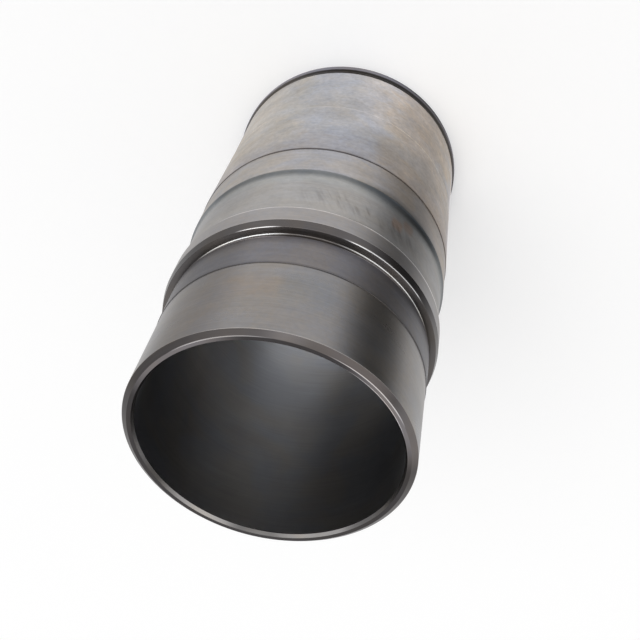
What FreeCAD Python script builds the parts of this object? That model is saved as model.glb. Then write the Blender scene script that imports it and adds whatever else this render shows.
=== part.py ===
import FreeCAD, Part
import math
import os
import Sketcher

# Wet cylinder liner of a large diesel engine: one sleeve of cast iron, turned outside and honed inside.
# It stands on its deck end, the end that meets the cylinder head, with the skirt end up.
# Origin: centre of the deck face. +Z runs along the bore to the skirt end. Millimetres.

NODE = "cylinder_liner"

# Driving sizes: alias, value, what it measures. Lengths stack up from the deck face. Walls are
# measured outward from the bore, steps and depths from the surface beside them.
SIZES = [
    ("BoreDiameter", 130.0, "honed bore"),
    ("DeckLead", 0.8, "45 degree chamfer of the bore at the deck face"),
    ("BoreLeadDepth", 1.05, "bore chamfer at the skirt end, across the wall"),
    ("BoreLeadLength", 1.85, "bore chamfer at the skirt end, along the bore"),
    ("LipWall", 11.1, "wall at the centring lip round the deck end"),
    ("LipLength", 3.7, "length of the lip"),
    ("LipReliefDepth", 0.8, "relief beside the lip, below the water jacket"),
    ("LipReliefWidth", 3.8, "relief beside the lip, along the bore"),
    ("UpperJacketWall", 9.95, "wall of the straight part of the water jacket"),
    ("UpperJacketLength", 52.0, "length of the straight part of the water jacket"),
    ("WitnessStep", 0.15, "faint step from the straight part up to the tapered part"),
    ("TaperLength", 56.4, "length of the tapered part of the water jacket"),
    ("JacketStep", 0.35, "step from the land up to the foot of the tapered part"),
    ("LandWall", 10.65, "wall at the ground land, on both sides of the waist"),
    ("BandLength", 24.0, "land between the water jacket and the waist"),
    ("WaistDepth", 1.45, "waist turned into the land"),
    ("WaistLength", 38.3, "length of the waist, edge to edge"),
    ("WaistRadius", 5.0, "tool radius at both ends of the waist"),
    ("CollarLength", 11.9, "land between the waist and the lead chamfer of the collar"),
    ("CollarLeadDepth", 1.2, "lead chamfer of the collar, across the wall"),
    ("CollarLeadLength", 4.9, "lead chamfer of the collar, along the bore"),
    ("SeatReliefDepth", 1.25, "relief at the root of the seat, below the neck"),
    ("SeatReliefWidth", 3.4, "relief at the root of the seat, along the bore"),
    ("SeatRootRadius", 0.7, "root radius of the relief, on the seat's side"),
    ("NeckStep", 0.35, "step from the skirt up to the neck"),
    ("NeckLength", 22.3, "neck between the seat relief and the skirt"),
    ("SkirtWall", 6.0, "wall at the skirt, the lower pilot"),
    ("SkirtLength", 48.8, "straight length of the skirt"),
    ("SkirtLeadDepth", 2.8, "lead chamfer at the skirt end, across the wall"),
    ("SkirtLeadLength", 2.1, "lead chamfer at the skirt end, along the bore"),
    ("EdgeBreak", 0.2, "45 degree break of the worked outer edges"),
]

# The most of the seat relief's depth that its root radius may take.
ROOT_SHARE = 0.7

# Radii and heights of the section, each worked out from the driving sizes in a cell of its own.
DERIVED = [
    ("BoreRadius", "BoreDiameter / 2"),
    ("DeckLeadRadius", "BoreRadius + DeckLead"),
    ("BoreLeadRadius", "BoreRadius + BoreLeadDepth"),
    ("SkirtRadius", "BoreRadius + SkirtWall"),
    ("SkirtEndRadius", "SkirtRadius - SkirtLeadDepth"),
    ("NeckRadius", "SkirtRadius + NeckStep"),
    ("SeatReliefRadius", "NeckRadius - SeatReliefDepth"),
    ("LandRadius", "BoreRadius + LandWall"),
    ("SeatRadius", "LandRadius - CollarLeadDepth"),
    ("WaistFloorRadius", "LandRadius - WaistDepth"),
    ("TaperFootRadius", "LandRadius + JacketStep"),
    ("UpperJacketRadius", "BoreRadius + UpperJacketWall"),
    ("TaperTipRadius", "UpperJacketRadius + WitnessStep"),
    ("LipReliefRadius", "UpperJacketRadius - LipReliefDepth"),
    ("LipRadius", "BoreRadius + LipWall"),
    ("LipReliefHeight", "LipLength + LipReliefWidth"),
    ("WitnessHeight", "LipReliefHeight + UpperJacketLength"),
    ("TaperFootHeight", "WitnessHeight + TaperLength"),
    ("WaistLow", "TaperFootHeight + BandLength"),
    ("WaistHigh", "WaistLow + WaistLength"),
    ("CollarHeight", "WaistHigh + CollarLength"),
    ("SeatHeight", "CollarHeight + CollarLeadLength"),
    ("SeatReliefHeight", "SeatHeight + SeatReliefWidth"),
    ("SkirtLow", "SeatReliefHeight + NeckLength"),
    ("SkirtHigh", "SkirtLow + SkirtLength"),
    ("TotalLength", "SkirtHigh + SkirtLeadLength"),
    ("BoreLeadHeight", "TotalLength - BoreLeadLength"),
    ("SeatRootFillet", f"min(SeatRootRadius; {ROOT_SHARE} * SeatReliefDepth)"),
]

# The turned blank with both reliefs, corner by corner as radius and height: up the outside from the
# deck face and down the bore. The deck face has no height cell.
BLANK = [
    ("DeckLeadRadius", None),
    ("LipRadius", None),
    ("LipRadius", "LipLength"),
    ("LipReliefRadius", "LipLength"),
    ("LipReliefRadius", "LipReliefHeight"),
    ("UpperJacketRadius", "LipReliefHeight"),
    ("UpperJacketRadius", "WitnessHeight"),
    ("TaperTipRadius", "WitnessHeight"),
    ("TaperFootRadius", "TaperFootHeight"),
    ("LandRadius", "TaperFootHeight"),
    ("LandRadius", "CollarHeight"),
    ("SeatRadius", "SeatHeight"),
    ("SeatReliefRadius", "SeatHeight"),
    ("SeatReliefRadius", "SeatReliefHeight"),
    ("NeckRadius", "SeatReliefHeight"),
    ("NeckRadius", "SkirtLow"),
    ("SkirtRadius", "SkirtLow"),
    ("SkirtRadius", "SkirtHigh"),
    ("SkirtEndRadius", "TotalLength"),
    ("BoreLeadRadius", "TotalLength"),
    ("BoreRadius", "BoreLeadHeight"),
    ("BoreRadius", "DeckLead"),
]

# The root that is rounded and the edges that are broken, as radius and height.
SEAT_ROOT = [("SeatReliefRadius", "SeatHeight")]
BROKEN_EDGES = [
    ("LipRadius", None),
    ("LipRadius", "LipLength"),
    ("SeatRadius", "SeatHeight"),
    ("SkirtEndRadius", "TotalLength"),
]

# How far the waist's cutter stands outside the land, and how near an edge lies to where its cells say.
CUTTER_ROOM = 1.0
EDGE_TOLERANCE = 0.001


def make_sheet(doc):
    """The spreadsheet that holds every size, driving sizes first."""
    sheet = doc.addObject("Spreadsheet::Sheet", "Sizes")
    rows = [(alias, str(value), note) for alias, value, note in SIZES]
    rows += [(alias, "=" + formula, "worked out") for alias, formula in DERIVED]
    for number, (alias, content, note) in enumerate(rows, start=1):
        sheet.set(f"A{number}", alias)
        sheet.set(f"B{number}", content)
        sheet.set(f"C{number}", note)
        sheet.setAlias(f"B{number}", alias)
    doc.recompute()
    return sheet


def corner_at(sheet, radius, height):
    """A point of the half section, from a radius cell and a height cell."""
    level = float(sheet.get(height)) if height else 0.0
    return FreeCAD.Vector(float(sheet.get(radius)), level, 0)


def section_sketch(body, name):
    """An empty sketch in the plane through the axis: x is the radius, y is the height."""
    sketch = body.newObject("Sketcher::SketchObject", name)
    plane = next(item for item in body.Origin.OriginFeatures if item.Role == "XZ_Plane")
    sketch.AttachmentSupport = [(plane, "")]
    sketch.MapMode = "FlatFace"
    return sketch


def bind(sketch, constraint, formula):
    """Add a constraint and tie its value to the sheet."""
    number = sketch.addConstraint(constraint)
    sketch.setExpression(f"Constraints[{number}]", formula)


def fix_start(sketch, curve, corner, radius, height):
    """Hold the start of a curve at a radius cell and a height cell, or on the deck face."""
    bind(sketch, Sketcher.Constraint("DistanceX", -1, 1, curve, 1, corner.x), f"Sizes.{radius}")
    if height:
        bind(sketch, Sketcher.Constraint("DistanceY", -1, 1, curve, 1, corner.y), f"Sizes.{height}")
    else:
        sketch.addConstraint(Sketcher.Constraint("PointOnObject", curve, 1, -1))


def blank_sketch(body, sheet):
    """The blank's half section, all straight edges."""
    sketch = section_sketch(body, "BlankSection")
    corners = [corner_at(sheet, radius, height) for radius, height in BLANK]
    for start, end in zip(corners, corners[1:] + corners[:1]):
        sketch.addGeometry(Part.LineSegment(start, end), False)
    for curve in range(len(corners)):
        following = (curve + 1) % len(corners)
        sketch.addConstraint(Sketcher.Constraint("Coincident", curve, 2, following, 1))
    for curve, (radius, height) in enumerate(BLANK):
        fix_start(sketch, curve, corners[curve], radius, height)
    return sketch


def waist_sketch(body, sheet):
    """The waist's half section: a straight floor that rises to the land on an arc at each end."""
    sketch = section_sketch(body, "WaistSection")
    low = corner_at(sheet, "LandRadius", "WaistLow")
    high = corner_at(sheet, "LandRadius", "WaistHigh")
    room = FreeCAD.Vector(CUTTER_ROOM, 0, 0)
    bend = float(sheet.WaistRadius)
    turned = math.acos(1 - float(sheet.WaistDepth) / bend)
    floor = float(sheet.WaistFloorRadius)
    floor_low = FreeCAD.Vector(floor, low.y + bend * math.sin(turned), 0)
    floor_high = FreeCAD.Vector(floor, high.y - bend * math.sin(turned), 0)
    reach = FreeCAD.Vector(bend, 0, 0)
    normal = FreeCAD.Vector(0, 0, 1)
    low_circle = Part.Circle(floor_low + reach, normal, bend)
    high_circle = Part.Circle(floor_high + reach, normal, bend)
    curves = [
        Part.LineSegment(low, low + room),
        Part.LineSegment(low + room, high + room),
        Part.LineSegment(high + room, high),
        Part.ArcOfCircle(high_circle, math.pi - turned, math.pi),
        Part.LineSegment(floor_high, floor_low),
        Part.ArcOfCircle(low_circle, math.pi, math.pi + turned),
    ]
    low_side, outside, high_side, high_arc, floor_line, low_arc = sketch.addGeometry(curves, False)
    for first, second in ((low_side, outside), (outside, high_side), (high_side, high_arc), (low_arc, low_side)):
        sketch.addConstraint(Sketcher.Constraint("Coincident", first, 2, second, 1))
    for first, second in ((high_arc, floor_line), (floor_line, low_arc)):
        sketch.addConstraint(Sketcher.Constraint("Tangent", first, 2, second, 1))
    for curve in (low_side, high_side):
        sketch.addConstraint(Sketcher.Constraint("Horizontal", curve))
    for curve in (outside, floor_line):
        sketch.addConstraint(Sketcher.Constraint("Vertical", curve))
    for curve in (low_arc, high_arc):
        bind(sketch, Sketcher.Constraint("Radius", curve, bend), "Sizes.WaistRadius")
    fix_start(sketch, low_side, low, "LandRadius", "WaistLow")
    fix_start(sketch, high_arc, high, "LandRadius", "WaistHigh")
    bind(sketch, Sketcher.Constraint("DistanceX", -1, 1, floor_line, 1, floor), "Sizes.WaistFloorRadius")
    sketch.addConstraint(Sketcher.Constraint("DistanceX", low_side, 1, low_side, 2, CUTTER_ROOM))
    return sketch


def turn(body, kind, name, sketch):
    """Revolve a half section all the way round the bore's axis, to add metal or to cut it."""
    feature = body.newObject(kind, name)
    feature.Profile = sketch
    feature.ReferenceAxis = (sketch, ["V_Axis"])
    feature.Angle = 360.0
    body.Document.recompute()
    return feature


def rings(shape, sheet, places):
    """The names of the full circles of a shape that lie at these radius and height cells."""
    names = []
    for radius, height in places:
        wanted = corner_at(sheet, radius, height)
        found = [
            f"Edge{number}"
            for number, edge in enumerate(shape.Edges, start=1)
            if isinstance(edge.Curve, Part.Circle)
            and abs(edge.Curve.Radius - wanted.x) < EDGE_TOLERANCE
            and abs(edge.Curve.Center.z - wanted.y) < EDGE_TOLERANCE
        ]
        if not found:
            raise ValueError(f"no edge at {radius}, {height}")
        names += found
    return names


def dress(body, sheet, base, kind, name, places, size, cell):
    """Round or break the edges at these places, with the size in a cell."""
    feature = body.newObject(kind, name)
    feature.Base = (base, rings(base.Shape, sheet, places))
    feature.setExpression(size, f"Sizes.{cell}")
    body.Document.recompute()
    return feature


def make_liner(doc, sheet):
    """The liner: blank, waist, root radius and broken edges."""
    body = doc.addObject("PartDesign::Body", "Liner")
    body.Label = NODE
    blank = turn(body, "PartDesign::Revolution", "Blank", blank_sketch(body, sheet))
    waist = turn(body, "PartDesign::Groove", "Waist", waist_sketch(body, sheet))
    if waist.Shape.Volume >= blank.Shape.Volume:
        raise ValueError("the waist cut nothing")
    root = dress(body, sheet, waist, "PartDesign::Fillet", "SeatRoot", SEAT_ROOT, "Radius", "SeatRootFillet")
    edges = dress(body, sheet, root, "PartDesign::Chamfer", "BrokenEdges", BROKEN_EDGES, "Size", "EdgeBreak")
    body.Tip = edges
    doc.recompute()
    return body


def check(doc, body):
    """Stop if any object failed or the liner isn't one sound solid."""
    for item in doc.Objects:
        if "Invalid" in item.State or "Error" in item.State:
            raise ValueError(f"{item.Name} failed: {item.State}")
    shape = body.Shape
    if shape.isNull() or not shape.isValid() or len(shape.Solids) != 1:
        raise ValueError(f"{body.Label} isn't one sound solid")


def main():
    doc = FreeCAD.newDocument("CylinderLiner")
    sheet = make_sheet(doc)
    liner = make_liner(doc, sheet)
    check(doc, liner)
    os.makedirs("parts", exist_ok=True)
    liner.Shape.exportStep(f"parts/{liner.Label}.step")
    box = liner.Shape.BoundBox
    print(f"{liner.Label}: {box.XLength:.2f} x {box.YLength:.2f} x {box.ZLength:.2f} mm, "
          f"{liner.Shape.Volume:.0f} mm3, {len(liner.Shape.Faces)} faces")


main()
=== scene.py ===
import math

import bpy
from mathutils import Matrix, Vector


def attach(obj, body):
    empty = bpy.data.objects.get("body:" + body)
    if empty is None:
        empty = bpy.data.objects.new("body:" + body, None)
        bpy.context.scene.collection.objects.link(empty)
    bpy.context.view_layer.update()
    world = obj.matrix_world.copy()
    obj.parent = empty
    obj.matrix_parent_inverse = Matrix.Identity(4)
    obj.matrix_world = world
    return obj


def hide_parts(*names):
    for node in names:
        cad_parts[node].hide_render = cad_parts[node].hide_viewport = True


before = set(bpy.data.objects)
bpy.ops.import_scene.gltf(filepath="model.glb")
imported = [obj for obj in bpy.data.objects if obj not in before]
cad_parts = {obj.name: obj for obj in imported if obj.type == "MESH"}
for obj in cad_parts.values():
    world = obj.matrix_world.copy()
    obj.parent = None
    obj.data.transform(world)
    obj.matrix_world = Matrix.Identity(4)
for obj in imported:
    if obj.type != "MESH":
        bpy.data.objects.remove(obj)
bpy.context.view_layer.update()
MM = 0.001

# The picture and the camera that was matched to it.
PICTURE_WIDTH = 640
FOCAL_PIXELS = 863.85
SENSOR_MM = 36.0
CLIP_NEAR = 0.01
CLIP_FAR = 20.0
CAMERA_PLACE = Vector((308.3, 0.0, 543.0)) * MM
CAMERA_TARGET = Vector((0.0, -9.0, 169.5)) * MM
CAMERA_ROLL = math.radians(-14.63)

# The studio: the pale floor, and the plain light that falls on it and on the liner.
FLOOR_HALF = 6.0
FLOOR_COLOUR = (0.85, 0.85, 0.85, 1.0)
FLOOR_ROUGHNESS = 0.9
FLOOR_LIFT = 0.18
AMBIENT = 0.75
KEY_STRENGTH = 0.8
KEY_WIDTH = math.radians(50)
KEY_FROM = Vector((0.5, 0.4, 1.0))

# Soft dark cards that only reflections see: azimuth, half width and softness in degrees, and depth.
# Where a direction rises more than the first of the two shares they end, and below the second they are full.
CARDS = [
    (64, 19, 24, 0.92),
    (-100, 18, 18, 0.15),
    (180, 90, 40, 0.2),
]
CARD_TOP = (0.4, 0.1)

# How finely the liner is turned: sections round it, and steps in each small rounding.
SECTIONS = 360
ROUND_STEPS = 4
COVE_STEPS = 10
SUPPORT = 0.05
SHARP_ANGLE = math.radians(40)

# Radii of the section in millimetres.
BORE = 65.0
DECK_LEAD = 65.8
BORE_LEAD = 66.05
LIP = 76.1
LIP_RELIEF = 74.15
UPPER_JACKET = 74.95
TAPER_TIP = 75.1
TAPER_FOOT = 76.0
LAND = 75.65
WAIST_FLOOR = 74.2
SEAT_CORNER = 74.45
SEAT_RELIEF = 70.1
NECK = 71.35
SKIRT = 71.0
SKIRT_END = 68.2

# Heights of the section in millimetres, from the deck face up.
DECK_LEAD_TOP = 0.8
LIP_TOP = 3.7
RELIEF_TOP = 7.5
WITNESS = 59.5
TAPER_TOP = 115.9
WAIST_LOW = 139.9
WAIST_HIGH = 178.2
COLLAR_TOP = 190.1
SEAT = 195.0
SEAT_RELIEF_TOP = 198.4
NECK_TOP = 220.7
SKIRT_TOP = 269.5
BORE_LEAD_FOOT = 269.75
LENGTH = 271.6

# Radii of the waist's coves and of the small roundings in millimetres.
COVE_RADIUS = 5.0
SHARP = 0.0
FINE_EDGE = 0.1
THIN_EDGE = 0.15
SOFT_EDGE = 0.2
EDGE = 0.25
RELIEF_EDGE = 0.3
SEAT_ROOT = 0.7

# The section, corner by corner: radius, height, rounding, and the finish of the surface that follows.
SECTION = [
    (DECK_LEAD, 0.0, SHARP, "turned"),
    (LIP, 0.0, EDGE, "turned"),
    (LIP, LIP_TOP, EDGE, "groove"),
    (LIP_RELIEF, LIP_TOP, SOFT_EDGE, "groove"),
    (LIP_RELIEF, RELIEF_TOP, SOFT_EDGE, "groove"),
    (UPPER_JACKET, RELIEF_TOP, EDGE, "jacket"),
    (UPPER_JACKET, WITNESS, SHARP, "jacket"),
    (TAPER_TIP, WITNESS, FINE_EDGE, "jacket"),
    (TAPER_FOOT, TAPER_TOP, FINE_EDGE, "groove"),
    (LAND, TAPER_TOP, SHARP, "band"),
    (LAND, WAIST_LOW, FINE_EDGE, "waist"),
    ("cove", "low", SHARP, "waist"),
    ("cove", "high", SHARP, "waist"),
    (LAND, WAIST_HIGH, THIN_EDGE, "collar"),
    (LAND, COLLAR_TOP, THIN_EDGE, "collar_lead"),
    (SEAT_CORNER, SEAT, EDGE, "seat"),
    (SEAT_RELIEF, SEAT, SEAT_ROOT, "seat"),
    (SEAT_RELIEF, SEAT_RELIEF_TOP, RELIEF_EDGE, "seat"),
    (NECK, SEAT_RELIEF_TOP, EDGE, "neck"),
    (NECK, NECK_TOP, FINE_EDGE, "step"),
    (SKIRT, NECK_TOP, SHARP, "skirt"),
    (SKIRT, SKIRT_TOP, SOFT_EDGE, "skirt_lead"),
    (SKIRT_END, LENGTH, EDGE, "face"),
    (BORE_LEAD, LENGTH, FINE_EDGE, "bore_lead"),
    (BORE, BORE_LEAD_FOOT, THIN_EDGE, "bore"),
    (BORE, DECK_LEAD_TOP, FINE_EDGE, "turned"),
]

# Numbers of the sockets that share a name on Blender's mix node, for colours and for plain values.
MIX_SHARE = 0
MIX_COLOURS = (6, 7)
MIX_COLOUR_OUT = 2
MIX_VALUES = (2, 3)
MIX_VALUE_OUT = 0

# A vector with only its flat part kept, and white.
FLAT = (1.0, 1.0, 0.0)
WHITE = (1.0, 1.0, 1.0, 1.0)

# Stains: their swirl, where in the noise bluish turns to brownish, and the pull on red, green and blue.
STAIN_DETAIL = 3.0
STAIN_SWIRL = 0.6
HUE_BAND = (0.35, 0.65)
COOL_PULL = (-1.0, -0.55, 0.2)
WARM_PULL = (0.1, -0.3, -1.0)

# Fine speckle, and the uneven rims of soft areas: spot length and height in millimetres, and the fade.
SPECKLE_SEED = 80
FINE_DETAIL = 5.0
RIM_SPOT = (18, 14)
BLOTCH_SPOT = (14, 10)
BLOTCH_DETAIL = 4.0
BLOTCH_RANGE = (0.0, 2.0)
RIM_SWIRL = 0.8
RIM_BAND = (0.1, 0.9)

# Thin lines: how quickly their strength changes, per millimetre across and along, and how far.
LINE_GRAIN = (0.05, 0.05, 0.3)
LINE_DETAIL = 2.0
LINE_RANGE = (0.5, 1.5)

# Rubbed strokes: lean in radians per millimetre of height, grain per millimetre, and softness in degrees.
STROKE_LEAN = 0.006
STROKE_GRAIN = (0.42, 0.42, 0.07)
STROKE_DETAIL = 1.0
STROKE_SOFTNESS = 14
STROKE_BAND = (0.45, 0.7)

# Turning marks and the patches of roughness.
RING_DETAIL = 4.0
RING_DRIFT = 0.03
RING_TONE = 0.14
MARK_DEPTH = 0.003
ROUGH_GRAIN = (0.04, 0.04, 0.12)
ROUGH_DETAIL = 3.0
ROUGH_SWIRL = 0.4

# Painted highlights on sharp edges, where they catch the light: azimuth and half width in degrees, and how
# softly that ends.
GLINT_FADE = 7
SEAT_GLINTS = [(-27, 3), (27, 15)]
ROOT_GLINTS = [(-36, 16), (32, 22)]
MOUTH_GLINTS = [(-30, 15), (34, 16)]
BORE_GLINTS = [(40, 16)]
WAIST_GLINTS = [(-20, 26), (40, 30)]
WAIST_SHINE = [(38, 22)]
WITNESS_GLINTS = [(40, 24), (-60, 10)]

# The heights between which painted shade darkens the waist's lower cove.
SHADE_START = 144.3
SHADE_END = 140.3

# Tints of dried coolant and heat.
WARM = (1.015, 0.992, 0.935)
RUST = (0.995, 0.935, 0.85)
COOL = (0.97, 0.985, 1.005)


def srgb(red, green, blue):
    """A linear colour from the 0 to 255 values of a picture, by the sRGB standard's formula."""
    values = [channel / 255 for channel in (red, green, blue)]
    return tuple(
        value / 12.92 if value <= 0.04045 else ((value + 0.055) / 1.055) ** 2.4
        for value in values
    )


def grey(level):
    """A colour whose three channels are the same."""
    return (level, level, level)


def cove_points(end, finish):
    """The points of the arc at the low or the high end of the waist."""
    turned = math.acos(1 - (LAND - WAIST_FLOOR) / COVE_RADIUS)
    run = COVE_RADIUS * math.sin(turned)
    centre = WAIST_FLOOR + COVE_RADIUS
    points = []
    for step in range(COVE_STEPS):
        share = (step + 1) / COVE_STEPS
        if end == "low":
            angle = turned * (1 - share)
            level = WAIST_LOW + run - COVE_RADIUS * math.sin(angle)
        else:
            angle = turned * (share - 1 / COVE_STEPS)
            level = WAIST_HIGH - run + COVE_RADIUS * math.sin(angle)
        points.append((centre - COVE_RADIUS * math.cos(angle), level, SHARP, finish))
    return points


def section_corners():
    """The section's corners, with the two coves written out as points on their arcs."""
    corners = []
    for radius, height, rounding, finish in SECTION:
        if radius == "cove":
            corners.extend(cove_points(height, finish))
        else:
            corners.append((radius, height, rounding, finish))
    return corners


def round_corner(before, corner, after, radius):
    """The points of a corner that is rounded to this radius."""
    inward = (before - corner).normalized()
    outward = (after - corner).normalized()
    half = inward.angle(outward) / 2
    reach = radius / math.tan(half)
    middle = corner + (inward + outward).normalized() * (radius / math.sin(half))
    start = corner + inward * reach
    end = corner + outward * reach
    first = (start - middle).normalized()
    last = (end - middle).normalized()
    arc = [middle + radius * first.slerp(last, step / ROUND_STEPS) for step in range(1, ROUND_STEPS)]
    return [start + inward * SUPPORT, start] + arc + [end, end + outward * SUPPORT]


def section_points():
    """The whole section as points, each with the finish of the surface that follows it."""
    corners = section_corners()
    count = len(corners)
    points = []
    for number, (radius, height, rounding, finish) in enumerate(corners):
        corner = Vector((radius, height))
        before = Vector(corners[number - 1][:2])
        after = Vector(corners[(number + 1) % count][:2])
        previous_finish = corners[number - 1][3]
        made = round_corner(before, corner, after, rounding) if rounding else [corner]
        for place in made[:-1]:
            points.append((place, previous_finish))
        points.append((made[-1], finish))
    return points


def turned_vertices(section):
    """The section's points, turned to every angle round the bore."""
    vertices = []
    for section_number in range(SECTIONS):
        angle = 2 * math.pi * section_number / SECTIONS
        for place, _ in section:
            vertices.append((
                place.x * MM * math.cos(angle),
                place.x * MM * math.sin(angle),
                place.y * MM,
            ))
    return vertices


def turned_faces(section):
    """The faces between neighbouring sections, and the name of each one's finish."""
    count = len(section)
    faces = []
    finishes = []
    for section_number in range(SECTIONS):
        here = section_number * count
        there = (section_number + 1) % SECTIONS * count
        for number, (_, finish) in enumerate(section):
            following = (number + 1) % count
            faces.append((here + number, there + number, there + following, here + following))
            finishes.append(finish)
    return faces, finishes


def make_liner(metals):
    """The liner as one turned mesh, with a material for each finish, in place of the plain solid."""
    section = section_points()
    faces, finishes = turned_faces(section)
    names = list(metals)
    mesh = bpy.data.meshes.new("liner")
    mesh.from_pydata(turned_vertices(section), [], faces)
    for name in names:
        mesh.materials.append(metals[name])
    mesh.polygons.foreach_set("material_index", [names.index(finish) for finish in finishes])
    mesh.polygons.foreach_set("use_smooth", [True] * len(faces))
    mesh.set_sharp_from_angle(angle=SHARP_ANGLE)
    mesh.validate()
    liner = bpy.data.objects.new("liner", mesh)
    bpy.context.scene.collection.objects.link(liner)
    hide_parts("cylinder_liner")
    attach(liner, "root")


class Net:
    """The nodes of one material or world. Each call adds one node and gives back its output."""

    def __init__(self, owner):
        owner.use_nodes = True
        self.tree = owner.node_tree

    def add(self, kind, inputs, output=0, **settings):
        """A node with its settings, and with a link or a value at each input named or numbered."""
        node = self.tree.nodes.new(kind)
        for name, value in settings.items():
            setattr(node, name, value)
        for key, value in inputs.items():
            if isinstance(value, bpy.types.NodeSocket):
                self.tree.links.new(value, node.inputs[key])
            else:
                node.inputs[key].default_value = value
        return node.outputs[output]

    def maths(self, operation, first, second=0.0):
        """One sum with one or two values."""
        return self.add("ShaderNodeMath", {0: first, 1: second}, operation=operation)

    def scaled(self, vector, factors):
        """A vector with each of its parts multiplied."""
        return self.add("ShaderNodeVectorMath", {0: vector, 1: factors}, operation="MULTIPLY")

    def fade(self, value, start, end):
        """A share that goes smoothly from 0 at the start to 1 at the end."""
        inputs = {"Value": value, "From Min": start, "From Max": end}
        return self.add("ShaderNodeMapRange", inputs, interpolation_type="SMOOTHSTEP")

    def ranged(self, value, low, high):
        """A share from 0 to 1 turned into a value from low to high."""
        return self.add("ShaderNodeMapRange", {"Value": value, "To Min": low, "To Max": high})

    def mix(self, share, first, second, blend="MIX"):
        """Two colours mixed as far as a share says."""
        inputs = {MIX_SHARE: share, MIX_COLOURS[0]: first, MIX_COLOURS[1]: second}
        return self.add("ShaderNodeMix", inputs, MIX_COLOUR_OUT, data_type="RGBA", blend_type=blend)

    def between(self, share, first, second):
        """A plain value between two others, as far as a share says."""
        inputs = {MIX_SHARE: share, MIX_VALUES[0]: first, MIX_VALUES[1]: second}
        return self.add("ShaderNodeMix", inputs, MIX_VALUE_OUT)

    def noise(self, vector, detail, distortion=0.0):
        """Soft noise from 0 to 1."""
        inputs = {"Vector": vector, "Scale": 1.0, "Detail": detail, "Distortion": distortion}
        return self.add("ShaderNodeTexNoise", inputs, "Fac")

    def ray(self, kind):
        """A share that is 1 for one kind of ray."""
        return self.add("ShaderNodeLightPath", {}, kind)

    def facing(self, vector, azimuth, half_width, softness):
        """A share that is 1 where the vector points near an azimuth, counted from +X toward -Y."""
        flat = self.scaled(vector, FLAT)
        along = self.add("ShaderNodeVectorMath", {0: flat}, operation="NORMALIZE")
        turn = math.radians(azimuth)
        centre = (math.cos(turn), -math.sin(turn), 0.0)
        cosine = self.add("ShaderNodeVectorMath", {0: along, 1: centre}, "Value", operation="DOT_PRODUCT")
        outer = math.cos(math.radians(min(half_width + softness, 180)))
        inner = math.cos(math.radians(max(half_width - softness, 0)))
        return self.fade(cosine, outer, inner)


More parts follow.
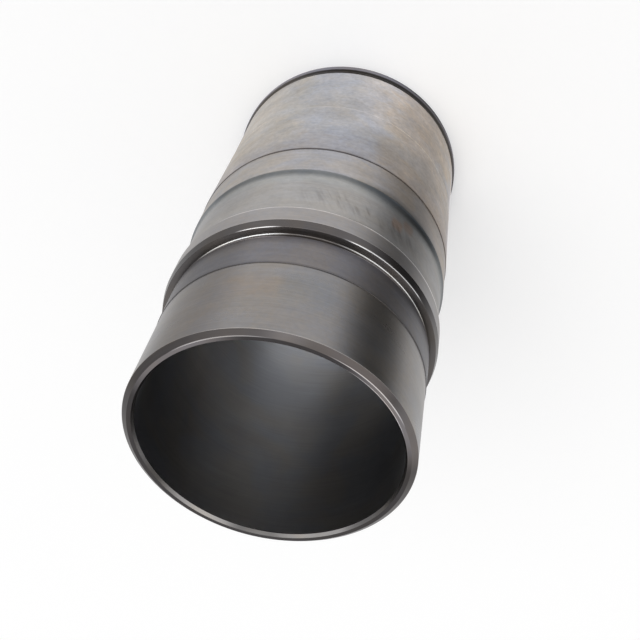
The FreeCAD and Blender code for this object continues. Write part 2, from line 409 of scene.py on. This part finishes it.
class Metal(Net):
    """A bare metal surface. Lengths are in millimetres, azimuths and widths on a side in degrees."""

    def __init__(self, name, colour):
        self.material = bpy.data.materials.new(name)
        super().__init__(self.material)
        self.shader = self.tree.nodes["Principled BSDF"]
        self.shader.inputs["Metallic"].default_value = 1.0
        coordinates = self.add("ShaderNodeTexCoord", {}, "Object")
        self.place = self.scaled(coordinates, (1 / MM, 1 / MM, 1 / MM))
        self.height = self.add("ShaderNodeSeparateXYZ", {0: self.place}, "Z")
        across = self.scaled(self.place, FLAT)
        self.radius = self.add("ShaderNodeVectorMath", {0: across}, "Value", operation="LENGTH")
        self.colour = (*srgb(*colour), 1.0)

    def times(self, factor):
        """The colour multiplied everywhere."""
        self.colour = self.mix(1.0, self.colour, factor, "MULTIPLY")

    def tint(self, share, colour):
        """The colour multiplied by another one, as far as a share says."""
        self.colour = self.mix(share, self.colour, (*colour, 1.0), "MULTIPLY")

    def spots(self, length, height, seed):
        """Places for a noise whose spots have this length round the liner and this height along it."""
        offset = (seed, seed, seed)
        moved = self.add("ShaderNodeVectorMath", {0: self.place, 1: offset}, operation="ADD")
        return self.scaled(moved, (1 / length, 1 / length, 1 / height))

    def patches(self, length, height, tone, hue, seed, detail=STAIN_DETAIL):
        """Soft patches of stain, light and dark by tone and from bluish to brownish by hue."""
        light = self.noise(self.spots(length, height, seed), detail, STAIN_SWIRL)
        self.times(self.ranged(light, 1 - tone, 1 + tone))
        tinge = self.noise(self.spots(length, height, seed + length), detail, STAIN_SWIRL)
        cool = [1 + pull * hue for pull in COOL_PULL]
        warm = [1 + pull * hue for pull in WARM_PULL]
        self.times(self.mix(self.fade(tinge, *HUE_BAND), (*cool, 1.0), (*warm, 1.0)))

    def speckle(self, length, height, tone, hue):
        """The fine speckle of a turned surface."""
        self.patches(length, height, tone, hue, SPECKLE_SEED, FINE_DETAIL)

    def near(self, measure, level, half_width):
        """A share that is 1 at a level of a measure and fades to 0 at this distance from it."""
        distance = self.maths("ABSOLUTE", self.maths("SUBTRACT", measure, level))
        return self.fade(distance, half_width, 0.0)

    def line(self, level, half_width, colour, sides=(), by_radius=False):
        """A thin line round the liner at a height or radius, stronger in places or only on some sides."""
        measure = self.radius if by_radius else self.height
        grain = self.noise(self.scaled(self.place, LINE_GRAIN), LINE_DETAIL)
        near = self.near(measure, level, half_width)
        share = self.maths("MULTIPLY", near, self.ranged(grain, *LINE_RANGE))
        if sides:
            reach = 0.0
            for azimuth, side_width in sides:
                side = self.facing(self.place, azimuth, side_width, GLINT_FADE)
                reach = self.maths("MAXIMUM", reach, side)
            share = self.maths("MULTIPLY", share, reach)
        self.tint(share, colour)

    def slope(self, start, end, colour, side=None):
        """A soft change of tone along the liner, or on one side: azimuth, half width and softness."""
        share = self.fade(self.height, start, end)
        if side:
            share = self.maths("MULTIPLY", share, self.facing(self.place, *side))
        self.tint(share, colour)

    def side(self, azimuth, half_width, softness, colour, ragged=0.0):
        """A soft change of tone on one side of the liner, with an uneven rim where it is ragged."""
        share = self.facing(self.place, azimuth, half_width, softness)
        if ragged:
            rim = self.noise(self.spots(*RIM_SPOT, azimuth), FINE_DETAIL, RIM_SWIRL)
            uneven = self.ranged(rim, -ragged, ragged)
            share = self.fade(self.maths("ADD", share, uneven), *RIM_BAND)
        self.tint(share, colour)

    def area(self, azimuth, half_width, softness, low, high):
        """A share that is 1 in the middle of an area on one side and fades to its lower and upper ends."""
        middle = (low + high) / 2
        side = self.facing(self.place, azimuth, half_width, softness)
        return self.maths("MULTIPLY", side, self.near(self.height, middle, high - middle))

    def blotch(self, azimuth, half_width, softness, low, high, colour):
        """A soft stain with an uneven rim."""
        rim = self.noise(self.spots(*BLOTCH_SPOT, azimuth), BLOTCH_DETAIL, RIM_SWIRL)
        area = self.area(azimuth, half_width, softness, low, high)
        share = self.maths("MULTIPLY", area, self.ranged(rim, *BLOTCH_RANGE))
        self.tint(self.fade(share, *RIM_BAND), colour)

    def strokes(self, azimuth, half_width, low, high, colour):
        """Short rubbed marks that lean across the surface, on one side of the liner."""
        inputs = {"Vector": self.place, "Angle": self.maths("MULTIPLY", self.height, STROKE_LEAN)}
        leaning = self.add("ShaderNodeVectorRotate", inputs, rotation_type="Z_AXIS")
        marks = self.noise(self.scaled(leaning, STROKE_GRAIN), STROKE_DETAIL)
        area = self.area(azimuth, half_width, STROKE_SOFTNESS, low, high)
        self.tint(self.maths("MULTIPLY", area, self.fade(marks, *STROKE_BAND)), colour)

    def rings(self, spacing):
        """Noise in rings round the liner, as a tool leaves them on walls and on end faces."""
        along = self.maths("DIVIDE", self.height, spacing)
        outward = self.maths("DIVIDE", self.radius, spacing)
        drift = self.maths("MULTIPLY", self.add("ShaderNodeSeparateXYZ", {0: self.place}, "Y"), RING_DRIFT)
        return self.noise(self.add("ShaderNodeCombineXYZ", {0: outward, 1: drift, 2: along}), RING_DETAIL)

    def finish(self, roughness, spread, marks, ring_tone=RING_TONE):
        """Roughness in soft patches, and turning marks as colour and as bump. No channel passes 1."""
        patches = self.noise(self.scaled(self.place, ROUGH_GRAIN), ROUGH_DETAIL, ROUGH_SWIRL)
        rings = self.rings(marks)
        self.times(self.ranged(rings, 1 - ring_tone, 1 + ring_tone))
        self.colour = self.mix(1.0, self.colour, WHITE, "DARKEN")
        bump = self.add("ShaderNodeBump", {"Height": rings, "Strength": 1.0, "Distance": MARK_DEPTH * MM})
        self.feed("Roughness", self.ranged(patches, roughness - spread, roughness + spread))
        self.feed("Normal", bump)
        self.feed("Base Color", self.colour)
        return self.material

    def feed(self, name, socket):
        """A link into one of the shader's own sockets."""
        self.tree.links.new(socket, self.shader.inputs[name])


def jacket_metal():
    """The wall that coolant wets: rough, mottled with dried stains, and with a step's witness line; painted
    light on some sides, painted shade towards the taper's wide end, and painted highlights and shade along
    its edges.
    """
    metal = Metal("jacket", (196, 193, 193))
    metal.patches(length=46, height=30, tone=0.2, hue=0.045, seed=0)
    metal.patches(length=15, height=12, tone=0.2, hue=0.035, seed=40, detail=FINE_DETAIL)
    metal.speckle(length=2.6, height=2.1, tone=0.22, hue=0.02)
    metal.side(azimuth=-52, half_width=16, softness=20, colour=WARM, ragged=1.2)
    metal.side(azimuth=-5, half_width=22, softness=22, colour=COOL, ragged=1.2)
    metal.side(azimuth=42, half_width=20, softness=18, colour=RUST, ragged=1.2)
    # Painted light: lighter on two sides.
    metal.side(azimuth=64, half_width=14, softness=14, colour=grey(1.3))
    metal.side(azimuth=80, half_width=6, softness=8, colour=grey(1.4))
    # Painted shade towards the taper's wide end, and painted light on one side towards the deck end.
    metal.slope(start=75, end=125, colour=(0.84, 0.83, 0.85))
    metal.slope(start=95, end=50, colour=(1.3, 1.27, 1.25), side=(22, 18, 12))
    # Painted highlights on the witness line and the relief's edge, and painted shade where the taper steps
    # down to the band.
    metal.line(WITNESS, half_width=0.6, colour=(1.35, 1.33, 1.3))
    metal.line(WITNESS, half_width=0.6, colour=(1.45, 1.4, 1.25), sides=WITNESS_GLINTS)
    metal.line(TAPER_TOP, half_width=1.3, colour=(0.45, 0.43, 0.42))
    metal.line(RELIEF_TOP, half_width=0.9, colour=(1.3, 1.27, 1.2))
    return metal.finish(roughness=0.7, spread=0.1, marks=1.1, ring_tone=0.08)


def band_metal():
    """The land between the taper and the waist, with the same stains on smoother metal, painted light on one
    side, and painted shade at both its ends and towards the waist on one side.
    """
    metal = Metal("band", (178, 175, 176))
    metal.patches(length=20, height=12, tone=0.2, hue=0.06, seed=10, detail=FINE_DETAIL)
    metal.speckle(length=2.6, height=2.1, tone=0.18, hue=0.02)
    metal.side(azimuth=-52, half_width=16, softness=16, colour=WARM, ragged=0.6)
    metal.side(azimuth=42, half_width=26, softness=18, colour=RUST, ragged=0.8)
    # Painted light on one side.
    metal.side(azimuth=64, half_width=14, softness=14, colour=grey(1.25))
    # Painted shade at the steps at both ends, and towards the waist on one side.
    metal.line(TAPER_TOP, half_width=0.9, colour=(0.5, 0.48, 0.47))
    metal.line(WAIST_LOW, half_width=1.0, colour=(0.5, 0.52, 0.52))
    metal.slope(start=134, end=140, colour=(0.65, 0.66, 0.68), side=(30, 14, 14))
    return metal.finish(roughness=0.48, spread=0.08, marks=1.0)


def waist_metal():
    """The waist: painted shade in its lower cove, deeper on one side and lifted by painted light on two
    others, lighter and bluer just above the cove, with rubbed strokes and two brown streaks.
    """
    metal = Metal("waist", (170, 167, 165))
    metal.patches(length=28, height=14, tone=0.18, hue=0.03, seed=20)
    metal.speckle(length=2.8, height=2.2, tone=0.14, hue=0.015)
    # Lighter and bluer just above the lower cove; painted shade in the cove, deeper on one side, and painted
    # light on two of its sides.
    metal.slope(start=152, end=146, colour=(1.04, 1.08, 1.10))
    metal.slope(start=SHADE_START, end=SHADE_END, colour=(0.40, 0.42, 0.44))
    metal.slope(start=149, end=141, colour=(0.5, 0.52, 0.54), side=(28, 16, 14))
    metal.slope(start=SHADE_START, end=SHADE_END, colour=grey(1.7), side=(66, 10, 14))
    metal.slope(start=SHADE_START, end=SHADE_END, colour=grey(1.7), side=(-76, 10, 12))
    metal.strokes(azimuth=16, half_width=24, low=150, high=176, colour=(0.74, 0.73, 0.72))
    metal.blotch(azimuth=27, half_width=2, softness=2, low=148, high=166, colour=(1.05, 0.86, 0.74))
    metal.blotch(azimuth=33, half_width=2, softness=2, low=142, high=160, colour=(1.05, 0.88, 0.78))
    return metal.finish(roughness=0.42, spread=0.08, marks=1.0)


def collar_metal():
    """The ground collar, with a painted highlight and sheen where it meets the waist and a painted highlight
    on its edge to the lead.
    """
    metal = Metal("collar", (160, 156, 155))
    metal.patches(length=28, height=12, tone=0.15, hue=0.02, seed=30)
    metal.speckle(length=2.8, height=2.2, tone=0.10, hue=0.03)
    # Painted highlights and sheen on the collar's edges.
    metal.line(WAIST_HIGH, half_width=1.0, colour=(2.2, 2.2, 2.18), sides=WAIST_GLINTS)
    metal.line(WAIST_HIGH, half_width=1.7, colour=grey(2.1), sides=WAIST_SHINE)
    metal.line(COLLAR_TOP, half_width=0.5, colour=grey(1.3))
    return metal.finish(roughness=0.36, spread=0.06, marks=0.9)


def collar_lead_metal():
    """The collar's dark lead chamfer, with painted shade on one side and painted glints on its edge to the
    seat.
    """
    metal = Metal("collar_lead", (98, 94, 93))
    metal.patches(length=20, height=10, tone=0.2, hue=0.05, seed=15)
    # Painted shade on one side, and painted glints on the edge to the seat.
    metal.side(azimuth=-54, half_width=14, softness=12, colour=grey(0.72))
    metal.line(SEAT, half_width=0.6, colour=(7.6, 8.1, 8.2), sides=SEAT_GLINTS)
    metal.line(SEAT, half_width=0.9, colour=(4.0, 4.1, 4.1), sides=SEAT_GLINTS[1:])
    return metal.finish(roughness=0.28, spread=0.05, marks=0.7)


def seat_metal():
    """The dark seat and its relief, with painted light on two sides and painted glints on the corner and in
    the root.
    """
    metal = Metal("seat", (104, 100, 98))
    metal.patches(length=20, height=10, tone=0.2, hue=0.05, seed=15)
    # Painted light on two sides, and painted glints on the corner and in the root.
    metal.side(azimuth=-34, half_width=10, softness=10, colour=grey(1.4))
    metal.side(azimuth=28, half_width=10, softness=10, colour=grey(1.7))
    metal.line(SEAT_CORNER, half_width=0.4, colour=(5.8, 6.2, 6.4), sides=SEAT_GLINTS, by_radius=True)
    root = SEAT_RELIEF + SEAT_ROOT / 2
    metal.line(root, half_width=0.38, colour=(5.0, 5.4, 5.5), sides=ROOT_GLINTS, by_radius=True)
    return metal.finish(roughness=0.4, spread=0.05, marks=0.5)


def neck_metal():
    """The neck that the block's seals touch: dark and slightly blue, with painted shade on one side and
    towards the seat, painted glints at its root, and a painted shade line at the step to the skirt.
    """
    metal = Metal("neck", (126, 123, 125))
    metal.patches(length=24, height=14, tone=0.15, hue=0.05, seed=50)
    metal.speckle(length=2.8, height=2.2, tone=0.12, hue=0.03)
    # Painted shade on one side and towards the seat, painted glints at the root, and painted shade at the
    # step to the skirt.
    metal.side(azimuth=-50, half_width=12, softness=12, colour=grey(0.75))
    metal.slope(start=206, end=199, colour=(0.75, 0.75, 0.77))
    metal.line(SEAT_RELIEF_TOP, half_width=0.9, colour=(5.5, 5.4, 5.3), sides=ROOT_GLINTS)
    metal.line(NECK_TOP, half_width=1.6, colour=grey(0.7))
    return metal.finish(roughness=0.42, spread=0.06, marks=0.9)


def skirt_metal():
    """The smooth skirt, with a bluish and a brownish blotch near the neck, painted shade on one side and at
    the step to the neck, and a painted highlight on its edge to the lead.
    """
    metal = Metal("skirt", (144, 140, 138))
    metal.patches(length=34, height=24, tone=0.12, hue=0.055, seed=63)
    metal.speckle(length=2.8, height=2.2, tone=0.10, hue=0.03)
    # Painted shade on one side.
    metal.side(azimuth=-47, half_width=12, softness=12, colour=(0.75, 0.73, 0.72))
    metal.blotch(azimuth=-1, half_width=6, softness=9, low=214, high=262, colour=(0.90, 0.94, 0.99))
    metal.blotch(azimuth=-22, half_width=7, softness=9, low=220, high=254, colour=(1.02, 0.97, 0.92))
    # Painted shade at the step to the neck, and a painted highlight on the edge to the lead.
    metal.line(NECK_TOP, half_width=0.9, colour=grey(0.75))
    metal.line(SKIRT_TOP, half_width=0.5, colour=(1.25, 1.24, 1.22))
    return metal.finish(roughness=0.29, spread=0.05, marks=0.9)


def skirt_lead_metal():
    """The skirt's lead chamfer, with painted light and shade by side, and a painted highlight on its edge to
    the end face.
    """
    metal = Metal("skirt_lead", (86, 82, 81))
    metal.patches(length=20, height=10, tone=0.15, hue=0.04, seed=15)
    # Painted shade and painted light by side, and painted glints on the edge to the end face.
    metal.side(azimuth=-55, half_width=18, softness=12, colour=grey(0.75))
    metal.side(azimuth=-22, half_width=8, softness=10, colour=grey(0.6))
    metal.side(azimuth=24, half_width=10, softness=10, colour=(1.5, 1.45, 1.42))
    metal.side(azimuth=62, half_width=10, softness=10, colour=grey(1.8))
    metal.line(SKIRT_END, half_width=0.22, colour=(6.0, 6.3, 6.4), sides=MOUTH_GLINTS, by_radius=True)
    return metal.finish(roughness=0.3, spread=0.05, marks=0.5)


def face_metal():
    """The end face: dark in front and lighter at both sides by a painted reflection, with painted glints on
    its outer and inner edges.
    """
    metal = Metal("face", (66, 63, 63))
    metal.patches(length=20, height=20, tone=0.12, hue=0.04, seed=15)
    # Painted reflection: lighter at both sides; painted glints on the outer and inner edges.
    metal.side(azimuth=-50, half_width=14, softness=18, colour=grey(3.6))
    metal.side(azimuth=50, half_width=14, softness=18, colour=grey(3.6))
    metal.line(SKIRT_END, half_width=0.4, colour=(7.0, 7.3, 7.3), sides=MOUTH_GLINTS, by_radius=True)
    metal.line(BORE_LEAD, half_width=0.35, colour=(5.0, 5.1, 5.1), sides=BORE_GLINTS, by_radius=True)
    return metal.finish(roughness=0.3, spread=0.05, marks=0.5)


def bore_lead_metal():
    """The chamfer at the mouth of the bore, with painted highlights on its two far sides."""
    metal = Metal("bore_lead", (120, 117, 115))
    metal.patches(length=20, height=10, tone=0.3, hue=0.04, seed=15)
    # Painted highlights on the two far sides.
    metal.side(azimuth=-155, half_width=14, softness=10, colour=grey(2.4))
    metal.side(azimuth=146, half_width=12, softness=10, colour=grey(2.0))
    return metal.finish(roughness=0.25, spread=0.05, marks=0.5)


def bore_metal():
    """The honed bore, with painted shade at its sides and a little painted light deep down at the back."""
    metal = Metal("bore", (149, 148, 149))
    metal.patches(length=36, height=30, tone=0.14, hue=0.07, seed=72)
    # Painted shade at the sides, and painted light deep down at the back.
    metal.side(azimuth=100, half_width=22, softness=22, colour=grey(0.82))
    metal.side(azimuth=-112, half_width=22, softness=24, colour=grey(0.8))
    metal.slope(start=266, end=240, colour=(1.25, 1.27, 1.28), side=(186, 22, 20))
    return metal.finish(roughness=0.36, spread=0.05, marks=0.8)


def groove_metal():
    """The relief beside the lip, dark in colour, with a little painted light at both sides."""
    metal = Metal("groove", (95, 92, 90))
    metal.patches(length=20, height=10, tone=0.25, hue=0.05, seed=15)
    # Painted light at both sides.
    metal.side(azimuth=-62, half_width=22, softness=22, colour=grey(1.7))
    metal.side(azimuth=66, half_width=20, softness=20, colour=grey(1.5))
    return metal.finish(roughness=0.45, spread=0.05, marks=0.6)


def ring_metal(name, colour, roughness):
    """A narrow turned ring, such as a step or the deck end."""
    metal = Metal(name, colour)
    metal.patches(length=20, height=10, tone=0.25, hue=0.05, seed=15)
    return metal.finish(roughness=roughness, spread=0.05, marks=0.6)


def make_metals():
    """The material of each finish that the section names."""
    return {
        "jacket": jacket_metal(),
        "band": band_metal(),
        "waist": waist_metal(),
        "collar": collar_metal(),
        "collar_lead": collar_lead_metal(),
        "seat": seat_metal(),
        "neck": neck_metal(),
        "skirt": skirt_metal(),
        "skirt_lead": skirt_lead_metal(),
        "face": face_metal(),
        "bore_lead": bore_lead_metal(),
        "bore": bore_metal(),
        "groove": groove_metal(),
        "step": ring_metal("step", (128, 126, 126), roughness=0.4),
        "turned": ring_metal("turned", (130, 127, 134), roughness=0.5),
    }


def look_matrix():
    """The camera's turn: the skirt end is nearest and points down the picture."""
    forward = (CAMERA_TARGET - CAMERA_PLACE).normalized()
    right = forward.cross(Vector((0, 0, -1))).normalized()
    down = forward.cross(right)
    cosine = math.cos(CAMERA_ROLL)
    sine = math.sin(CAMERA_ROLL)
    picture_right = cosine * right + sine * down
    picture_down = cosine * down - sine * right
    turn = Matrix((picture_right, -picture_down, -forward)).transposed()
    return Matrix.Translation(CAMERA_PLACE) @ turn.to_4x4()


def make_camera():
    """The camera that was matched to the photo."""
    data = bpy.data.cameras.new("camera")
    data.sensor_width = SENSOR_MM
    data.lens = FOCAL_PIXELS / PICTURE_WIDTH * SENSOR_MM
    data.clip_start = CLIP_NEAR
    data.clip_end = CLIP_FAR
    camera = bpy.data.objects.new("camera", data)
    camera.matrix_world = look_matrix()
    bpy.context.scene.collection.objects.link(camera)
    bpy.context.scene.camera = camera


def floor_material():
    """A pale surface with a little light of its own for the camera, and clear for reflections."""
    material = bpy.data.materials.new("floor")
    net = Net(material)
    shader = net.tree.nodes["Principled BSDF"]
    shader.inputs["Base Color"].default_value = FLOOR_COLOUR
    shader.inputs["Roughness"].default_value = FLOOR_ROUGHNESS
    shader.inputs["Specular IOR Level"].default_value = 0.0
    glow = net.maths("MULTIPLY", net.ray("Is Camera Ray"), FLOOR_LIFT)
    lift = net.add("ShaderNodeEmission", {"Strength": glow})
    lit = net.add("ShaderNodeAddShader", {0: shader.outputs["BSDF"], 1: lift})
    clear = net.add("ShaderNodeBsdfTransparent", {})
    surface = net.add("ShaderNodeMixShader", {0: net.ray("Is Glossy Ray"), 1: lit, 2: clear})
    net.tree.links.new(surface, net.tree.nodes["Material Output"].inputs["Surface"])
    return material


def make_floor():
    """A pale floor that keeps the liner's soft shadow."""
    corners = [
        (-FLOOR_HALF, -FLOOR_HALF, 0),
        (FLOOR_HALF, -FLOOR_HALF, 0),
        (FLOOR_HALF, FLOOR_HALF, 0),
        (-FLOOR_HALF, FLOOR_HALF, 0),
    ]
    mesh = bpy.data.meshes.new("floor")
    mesh.from_pydata(corners, [], [(0, 1, 2, 3)])
    mesh.materials.append(floor_material())
    floor = bpy.data.objects.new("floor", mesh)
    bpy.context.scene.collection.objects.link(floor)


def make_world():
    """White for the camera, plain light for the floor, and white with dark cards for reflections."""
    world = bpy.data.worlds.new("studio")
    bpy.context.scene.world = world
    net = Net(world)
    direction = net.add("ShaderNodeTexCoord", {}, "Generated")
    rise = net.add("ShaderNodeSeparateXYZ", {0: direction}, "Z")
    below = net.fade(rise, *CARD_TOP)
    mirrored = 1.0
    for azimuth, half_width, softness, depth in CARDS:
        card = net.maths("MULTIPLY", below, net.facing(direction, azimuth, half_width, softness))
        mirrored = net.maths("MULTIPLY", mirrored, net.ranged(card, 1.0, 1.0 - depth))
    seen = net.maths("MAXIMUM", net.ray("Is Camera Ray"), net.ray("Is Transmission Ray"))
    level = net.between(net.ray("Is Glossy Ray"), AMBIENT, mirrored)
    background = net.tree.nodes["Background"]
    background.inputs["Color"].default_value = WHITE
    net.tree.links.new(net.between(seen, level, 1.0), background.inputs["Strength"])


def make_sun():
    """One wide, soft key light."""
    data = bpy.data.lights.new("key", "SUN")
    data.energy = KEY_STRENGTH
    data.angle = KEY_WIDTH
    lamp = bpy.data.objects.new("key", data)
    lamp.rotation_euler = (-KEY_FROM).to_track_quat("-Z", "Y").to_euler()
    bpy.context.scene.collection.objects.link(lamp)


bpy.context.scene.view_settings.view_transform = "Standard"
make_liner(make_metals())
make_floor()
make_world()
make_sun()
make_camera()
